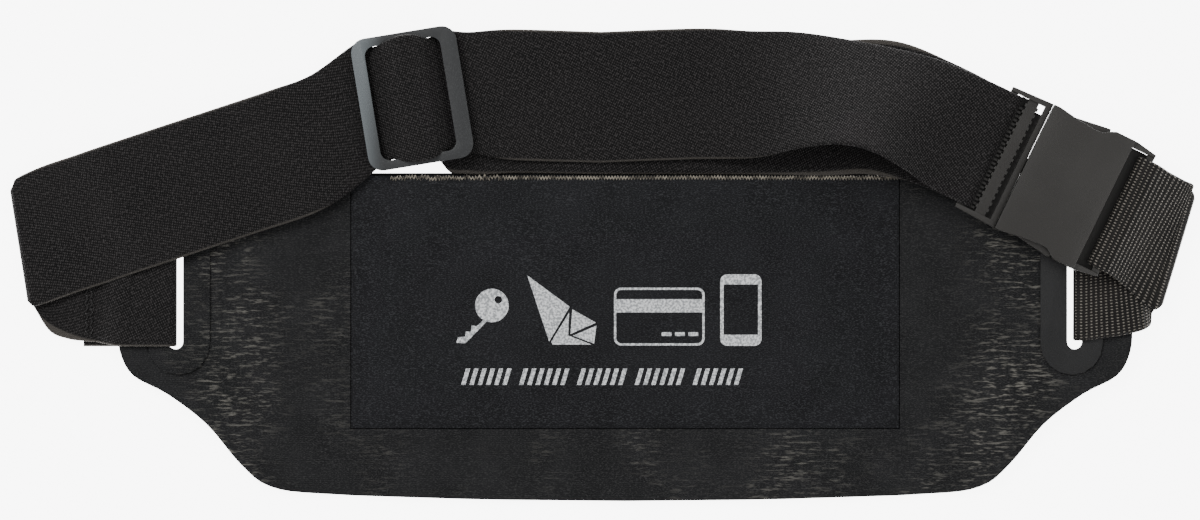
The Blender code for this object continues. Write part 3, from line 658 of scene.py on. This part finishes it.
bandTop = [
    topSeam,
    (22.7, runY + 1.1, 3.1, 90, 1, bandWidth),
    (40.3, runY + 0.9, 5.4, 91, 8, bandWidth - 0.8),
    (54.8, runY + 2.1, 9.9, 90, 20, bandWidth - 2.2),
    (68.4, runY + 1.5, 12.4, 86, 27, bandWidth - 3.6),
    (80.6, runY - 1.0, 13.3, 80, 26, bandWidth - 3.6),
    (92.5, runY - 5.4, 13.5, 72, 16, bandWidth - 3.4),
    (102, runY - 10.4, 13.2, 66, 6, bandWidth - 3),
    onFitting("buckle", -16.6, 2.5, plugSlot),
]
bandReturn = [
    onFitting("buckle", -17.0, -2.6, plugSlot),
    (96.1, runY - 7.9, 5.2, 68, 5, bandWidth - 1.2),
    (80.3, runY - 3.2, 2.9, 78, 5, bandWidth + 2),
    (61.4, runY - 3.5, 2.0, 86, 3, bandWidth + 1.4),
    (36.2, runY - 3.8, 1.2, 90, 0, bandWidth),
    underSeam,
]
bandAnchor = [
    underSeam,
    (-34, runY - 3.3, 1.2, 92, 0, bandWidth),
    (-45, runY - 3.4, 1.4, 94, 0, bandWidth + 1),
    (-52, runY - 3, 1.8, 96, 0, bandWidth + 1.6),
    (-58, runY - 2.7, 1.9, 98, 0, bandWidth + 1),
    onFitting("slider", 4, 2.8, squeezed + 2),
]


def bandPiece(name, stations, startAt, nodeName):
    piece, length = strap(name, stations, bandShape, elasticWeave, startAt)
    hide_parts(nodeName)
    return piece, startAt + length


# A station's or a fitting's place, in metres.
def placeOf(station):
    return Vector(station[:3]) * mm


# One band in six pieces, with those beside the slider and the plug apart from the rest.
def makeBand():
    curve = bandShape["curve"]
    fold = foldTurn(
        (-half - 30.7, slotY + 11.1), low=0.9, high=2.9, turn=99.2,
        width=bandWidth - 2.5, pinch=3.4,
    )
    loop = slotTurn(side=-1, top=5.3, thickness=1.2, width=bandWidth)
    leg = smooth([loop[-1], *bandLeg, fold[0]], bandShape["legCurve"])[1:-1]
    whole = smooth([fold[-1], *bandRise, *bandOver, *bandPast], curve)
    cut = curve * len(bandRise)
    middle = cut + curve * len(bandOver)
    first = [*bandTail, *loop, *leg, *fold, *whole[1 : cut + 1]]
    piece, at = bandPiece("bandPouchRun", first, 0, "elastic_pouch_run")
    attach(piece, "pouch")

    piece, at = bandPiece("bandIntoSlider", whole[cut : middle + 1], at, "elastic_slider_left")
    meet, turn = placeOf(whole[cut]), math.radians(whole[cut][3] - 90)
    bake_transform(piece)

    piece, at = bandPiece("bandOutOfSlider", whole[middle:], at, "elastic_slider_right")
    meet, edge = placeOf(whole[-1]), placeOf(onFitting("slider", 18, 3.7, 0))
    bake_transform(piece)

    bar = roundBar("buckle", -12.6, 0, radius=2.4, start=90, end=-90, width=plugSlot)
    tip = len(bar) // 2
    top = [*smooth([*bandTop, bar[0]], curve)[:-1], *bar[: tip + 1]]
    piece, at = bandPiece("bandTopRun", top, at, "elastic_top_run")
    near, far = placeOf(topSeam), placeOf(onFitting("buckle", -25, 0, 0))
    near.z = far.z
    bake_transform(piece)

    back = [*bar[tip:-1], *smooth([bar[-1], *bandReturn], curve)]
    piece, at = bandPiece("bandReturnRun", back, at, "elastic_return_run")
    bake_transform(piece)

    hook = roundBar("slider", -0.5, 5.2, radius=1.5, start=270, end=90, width=squeezed)
    end = onFitting("slider", 1.4, 6.7, squeezed)
    under = [*smooth([*bandAnchor, hook[0]], curve)[:-1], *hook, end]
    piece, at = bandPiece("bandAnchorLoop", under, at, "elastic_anchor_loop")
    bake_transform(piece)
    return at


bandLength = makeBand()
print("elastic band made,", round(bandLength), "mm")

webbingShape = {
    "thickness": 1.25, "width": 37.5, "step": 0.3, "columns": 20, "edgeSteps": 4, "rib": 1.5,
    "ribHeight": 0.22, "cup": 0.06, "cupLength": 7.0, "curve": 6,
}


def makeWebbing():
    width, curve, y = webbingShape["width"], webbingShape["curve"], slotY + 0.6
    loop = slotTurn(side=1, top=5.35, thickness=1.3, width=width)
    fold = foldTurn(
        (half + 13.9, y + 8.8), low=2.35, high=5.25, turn=73.2, width=width + 2.0, pinch=4.0
    )
    tail = [
        Vector((stripEnd + 17.5, y + 1, 0.65, 92, 0, width - 3)),
        Vector((stripEnd + 3, slotY, 0.65, 90, 0, width)),
    ]
    leg = [
        loop[-1],
        (half - 9.2, y + 0.4, 5.35, 92, 0, width),
        (half - 4.7, y + 1.1, 5.15, 95, 0, width),
        (half + 0.9, y + 2.5, 4.85, 96, 0, width),
        (half + 5.3, y + 4.5, 2.45, 91, 0, width + 0.2),
        (half + 9.6, y + 7.4, 2.35, 79, 0, width + 0.4),
        fold[0],
    ]
    bar = roundBar("buckle", 34.1, 0, radius=2.45, start=90, end=270, width=width)
    upper = [
        fold[-1],
        (half + 11.3, y + 10.9, 5.65, 68, 0, width + 3.0),
        (half + 6.8, y + 14.1, 7.85, 61, 0, width + 1),
        (half + 2.6, y + 16.8, 10.45, 63, 0, width),
        onFitting("buckle", 37.5, 2.15, width),
        bar[0],
    ]
    end = [onFitting("buckle", 37.1, -2.55, width), onFitting("buckle", 40.1, -2.65, width)]
    first = [*tail, *loop[:-1], *smooth(leg, curve)[:-1], *fold[:-1]]
    stations = [*first, *smooth(upper, curve)[:-1], *bar, *end]
    piece, length = strap(
        "webbingStrap", stations, webbingShape, webbingWeave
    )
    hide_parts("webbing_strap")
    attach(piece, "pouch")
    return length


print("webbing made,", round(makeWebbing()), "mm")


rounding = {"corner": 25, "segments": 3, "sharp": 35}


# Moulded parts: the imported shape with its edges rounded.
def moulded(name, nodeName, body, material, radius):
    bm = nodeMesh(nodeName)
    bm.normal_update()
    corner = math.radians(rounding["corner"])
    edges = [e for e in bm.edges if e.is_manifold and e.calc_face_angle() > corner]
    bmesh.ops.bevel(
        bm, geom=edges, offset=radius, affect="EDGES", segments=rounding["segments"],
        profile=0.5, material=-1, clamp_overlap=True,
    )
    piece = makePiece(name, bm, material, rounding["sharp"])
    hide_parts(nodeName)
    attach(piece, body)
    return piece


# Webs of the buckle, in millimetres from its middle: along it, across it and up.
plugWebShape = {
    "u": (-10.0, -2.2), "v": (-19.5, 16.8), "z": (-1.7, -1.1), "ridges": 26, "ridge": 0.7,
    "ridgeU": (0.3, 1.6), "margin": 0.6, "top": 0.2, "rail": 2.4, "overlap": 0.1,
}
socketWebShape = {"u": (27.2, 33.4), "v": (-20.1, 20.1), "z": (-2.4, -1.8), "ridges": 0}


# A thin web that closes a gap in the buckle, with or without a row of ridges.
def buckleWeb(name, body, look):
    fitting = fittings["buckle"]
    turn = Matrix.Rotation(math.radians(fitting["turn"]), 4, "Z")
    place = Matrix.Translation((*fitting["place"], fitting["height"])) @ turn
    (u0, u1), (v0, v1), (z0, z1) = look["u"], look["v"], look["z"]
    boxes = [(u0, u1, v0, v1, z0, z1)]
    if look["ridges"]:
        boxes.append((u0, u0 + look["rail"], v1 - look["overlap"], -v0, z0, z1))
    for i in range(look["ridges"]):
        span = v1 - v0 - 2 * look["margin"] - look["ridge"]
        v = v0 + look["margin"] + span * i / (look["ridges"] - 1)
        a0, a1 = [u0 + u for u in look["ridgeU"]]
        boxes.append((a0, a1, v, v + look["ridge"], z1 - look["overlap"], look["top"]))
    bm = bmesh.new()
    for a0, a1, b0, b1, c0, c1 in boxes:
        size = Matrix.Diagonal((a1 - a0, b1 - b0, c1 - c0, 1))
        middle = Matrix.Translation(((a0 + a1) / 2, (b0 + b1) / 2, (c0 + c1) / 2))
        bmesh.ops.create_cube(bm, size=1, matrix=place @ middle @ size)
    bmesh.ops.scale(bm, vec=(mm, mm, mm), verts=bm.verts)
    piece = makePiece(name, bm, bucklePlastic)
    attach(piece, body)


buckleWeb("plugWeb", "plug", plugWebShape)
buckleWeb("socketWeb", "pouch", socketWebShape)
moulded("sliderFrame", "slider_frame", "slider", sliderPlastic, 0.00045)
moulded("plugBody", "plug_body", "plug", bucklePlastic, 0.00022)
moulded("prongUpper", "prong_upper", "prong_upper", bucklePlastic, 0.0003)
moulded("prongLower", "prong_lower", "prong_lower", bucklePlastic, 0.0003)
moulded("socketShell", "socket_shell", "pouch", bucklePlastic, 0.0003)

# The left front patch lies beneath the cloth, so it shows as cloth.
for word in ("left", "right"):
    for face in ("front", "back"):
        title = f"slotPatch{word.title()}{face.title()}"
        cover = pouchCloth if (word, face) == ("left", "front") else patchFilm
        moulded(title, f"slot_patch_{word}_{face}", "pouch", cover, 0.00012)
print("moulded parts made")

# Overlocked mouth: slanted loops of thread side by side, bunched at one end.
hemShape = {
    "pitch": 0.00095, "reach": 0.0017, "thread": 0.0002, "bunchedTo": -0.039, "from": 0.0128,
    "inset": 0.0006, "wander": 0.0004, "lean": 24, "twist": 14, "tidy": 0.25,
}


def mouthHem():
    look = hemShape
    bm = bmesh.new()
    x, end = pocketLow.x + look["from"], pocketHigh.x - look["inset"]
    while x < end:
        bunch = x < look["bunchedTo"]
        loose = 1.0 if bunch else look["tidy"]
        wander = dice.uniform(-look["wander"], look["wander"]) * loose
        y = pocketHigh.y - look["inset"] + wander
        z = pocketHeight(x, pocketHigh.y) + look["thread"] * 0.6
        for side in (-1, 1):
            size = (look["thread"], look["reach"] / 2 * dice.uniform(0.8, 1.1), look["thread"])
            twist = dice.uniform(-look["twist"], look["twist"]) * loose
            turn = math.radians(side * look["lean"] + twist)
            place = Matrix.Translation((x + side * look["pitch"] / 4, y, z))
            shape = place @ Matrix.Rotation(turn, 4, "Z") @ Matrix.Diagonal((*size, 1))
            bmesh.ops.create_icosphere(bm, subdivisions=2, radius=1, matrix=shape)
        x += look["pitch"] * dice.uniform(0.8, 1.2) if bunch else look["pitch"]
    piece = makePiece("mouthHem", bm, hemThread, 80)
    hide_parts("mouth_hem")
    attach(piece, "pouch")


mouthHem()


tackShape = {
    "rows": 2, "pitch": 0.0014, "lean": 60, "lift": 0.0001, "size": (0.00095, 0.0002, 0.0002),
}


# Rows of thread where a strap's end is sewn down.
def barTack(name, nodeName):
    look = tackShape
    low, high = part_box(nodeName)
    bm = bmesh.new()
    count = int((high.y - low.y) / look["pitch"])
    for row in range(look["rows"]):
        x = low.x + (high.x - low.x) * (row + 0.5) / look["rows"]
        for i in range(count):
            y = low.y + (i + 0.5) * look["pitch"]
            turn = math.radians(look["lean"] if (i + row) % 2 else -look["lean"])
            place = Matrix.Translation((x, y, low.z + look["lift"]))
            shape = place @ Matrix.Rotation(turn, 4, "Z") @ Matrix.Diagonal((*look["size"], 1))
            bmesh.ops.create_icosphere(bm, subdivisions=1, radius=1, matrix=shape)
    piece = makePiece(name, bm, blackThread, 80)
    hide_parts(nodeName)
    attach(piece, "pouch")


barTack("bandTailStitches", "elastic_tail_stitching")
barTack("webbingTailStitches", "webbing_tail_stitching")
print("threads made")

# The print: plain pictures of what the pocket takes, and a row of slanted dashes.
printShape = {"lift": 0.00007, "thickness": 0.00005, "step": 0.003}


def ringOf(points):
    return [Vector((x * mm, y * mm, 0)) for x, y in points]


def circleOf(x, y, radius, count=28):
    turns = [2 * math.pi * i / count for i in range(count)]
    return [(x + radius * math.cos(t), y + radius * math.sin(t)) for t in turns]


def roundedBox(x0, y0, x1, y1, radius):
    made = []
    for cx, cy, start in ((x1, y1, 0), (x0, y1, 90), (x0, y0, 180), (x1, y0, 270)):
        sx = math.copysign(radius, cx - (x0 + x1) / 2)
        sy = math.copysign(radius, cy - (y0 + y1) / 2)
        for i in range(7):
            a = math.radians(start + 15 * i)
            made.append((cx - sx + radius * math.cos(a), cy - sy + radius * math.sin(a)))
    return made


def addFilled(bm, points):
    bm.faces.new([bm.verts.new(p) for p in ringOf(points)])


# The stretch of surface between an outline and the hole in it.
def addFrame(bm, outer, inner):
    edges = []
    for points in (outer, inner):
        verts = [bm.verts.new(p) for p in ringOf(points)]
        edges += [bm.edges.new(pair) for pair in zip(verts, [*verts[1:], verts[0]])]
    bmesh.ops.triangle_fill(bm, edges=edges, use_beauty=True)


# A picture laid over the pocket's surface as a thin film.
def printedPiece(name, draw):
    bm = bmesh.new()
    draw(bm)
    gridCut(bm, printShape["step"])
    for v in bm.verts:
        v.co.z = pocketHeight(v.co.x, v.co.y) + printShape["lift"]
    bmesh.ops.recalc_face_normals(bm, faces=bm.faces)
    if sum(f.normal.z for f in bm.faces) < 0:
        bmesh.ops.reverse_faces(bm, faces=bm.faces)
    bmesh.ops.solidify(bm, geom=list(bm.faces), thickness=-printShape["thickness"])
    piece = makePiece(name, bm, silver, clothAngle)
    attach(piece, "pouch")


def drawKey(bm):
    addFrame(bm, circleOf(-41.9, 10.4, 5.3), circleOf(-39.9, 12.2, 1.2, 16))
    blade = [
        (-45.2, 5.2), (-46.7, 3.9), (-48.3, 4.1), (-48.5, 2.2), (-50.1, 2.2), (-50.3, 0.6),
        (-52.6, 0.4), (-53.1, -1.3), (-50.6, -1.5), (-49.7, -1.0), (-43.5, 5.4), (-44.3, 6.3),
    ]
    addFilled(bm, blade)


def drawNote(bm):
    addFilled(bm, [(-30.8, 19.9), (-17.4, 10.0), (-23.9, -0.9)])
    addFilled(bm, [(-16.6, 9.2), (-9.2, 5.0), (-17.2, 1.4)])
    addFilled(bm, [(-23.2, -1.0), (-17.6, 8.2), (-17.9, 1.0), (-10.6, -1.9), (-22.8, -1.9)])
    addFilled(bm, [(-9.0, 4.1), (-16.4, 0.9), (-9.8, -1.6)])


def drawCard(bm):
    addFrame(bm, roundedBox(-3.5, -2.2, 25.0, 16.0, 2.2), roundedBox(-2.8, -1.5, 24.3, 15.3, 1.7))
    addFilled(bm, [(-2.9, 8.2), (24.4, 8.2), (24.4, 12.4), (-2.9, 12.4)])
    for i in range(3):
        left = 11.5 + 4.2 * i
        addFilled(bm, [(left, 0.8), (left + 3.1, 0.8), (left + 3.1, 2.0), (left, 2.0)])


def drawPhone(bm):
    addFrame(bm, roundedBox(29.9, -2.3, 42.9, 20.2, 2.2), roundedBox(31.0, 1.2, 41.8, 17.0, 0.1))
    addFrame(bm, circleOf(36.4, -0.5, 1.25, 18), circleOf(36.4, -0.5, 0.75, 18))


dashShape = {
    "count": 34, "group": 7, "from": -51.6, "pitch": 2.6, "low": -14.6, "high": -9.4,
    "width": 1.35, "slant": 1.55,
}


# Dashes in groups, with every last one of a group left out.
def drawDashes(bm):
    look = dashShape
    for i in range(look["count"]):
        if (i + 1) % look["group"] == 0:
            continue
        left = look["from"] + look["pitch"] * i
        right, slant = left + look["width"], look["slant"]
        foot = [(left, look["low"]), (right, look["low"])]
        addFilled(bm, [*foot, (right + slant, look["high"]), (left + slant, look["high"])])


for title, draw in (
    ("printKey", drawKey), ("printNote", drawNote), ("printCard", drawCard),
    ("printPhone", drawPhone), ("printDashes", drawDashes),
):
    printedPiece(title, draw)
print("print made")

# Studio: pale floor, soft light, camera straight above.
studio = {
    "middle": (-0.0079, 0.0247), "height": 2.5, "across": 0.378, "sensor": 36, "farthest": 20,
    "floor": (0.9, 0.9, 0.9, 1), "floorHalf": 3, "floorDrop": 0.0004, "floorRoughness": 0.9,
    "sky": 0.6, "glow": 7, "aim": (0, 0.03, 0),
}


def areaLight(name, place, size, power):
    light = bpy.data.lights.new(name, "AREA")
    light.energy, light.size = power, size
    lamp = bpy.data.objects.new(name, light)
    bpy.context.collection.objects.link(lamp)
    lamp.location = place
    aim = Vector(studio["aim"]) - Vector(place)
    lamp.rotation_euler = aim.to_track_quat("-Z", "Y").to_euler()


def makeStudio():
    bm = bmesh.new()
    bmesh.ops.create_grid(bm, x_segments=1, y_segments=1, size=studio["floorHalf"])
    bmesh.ops.translate(bm, vec=(0, 0, -studio["floorDrop"]), verts=bm.verts)
    mesh = bpy.data.meshes.new("floor")
    bm.to_mesh(mesh)
    bm.free()
    floor = bpy.data.objects.new("floor", mesh)
    bpy.context.collection.objects.link(floor)
    paint = bpy.data.materials.new("floorPaint")
    paint.use_nodes = True
    shader = paint.node_tree.nodes["Principled BSDF"]
    shader.inputs["Base Color"].default_value = studio["floor"]
    shader.inputs["Roughness"].default_value = studio["floorRoughness"]
    shader.inputs["Emission Color"].default_value = (1, 1, 1, 1)
    shader.inputs["Emission Strength"].default_value = studio["glow"]
    mesh.materials.append(paint)
    areaLight("keyLight", (-0.9, 0.9, 1.3), 0.9, 30)
    areaLight("fillLight", (1.1, -0.5, 1.2), 1.2, 13)
    world = bpy.data.worlds.new("sky")
    world.use_nodes = True
    sky = world.node_tree.nodes["Background"]
    sky.inputs["Color"].default_value = (1, 1, 1, 1)
    sky.inputs["Strength"].default_value = studio["sky"]
    bpy.context.scene.world = world
    camera = bpy.data.cameras.new("camera")
    camera.sensor_width = studio["sensor"]
    camera.lens = camera.sensor_width * studio["height"] / studio["across"]
    camera.clip_end = studio["farthest"]
    eye = bpy.data.objects.new("camera", camera)
    bpy.context.collection.objects.link(eye)
    eye.location = (*studio["middle"], studio["height"])
    bpy.context.scene.camera = eye


makeStudio()
print("studio ready")
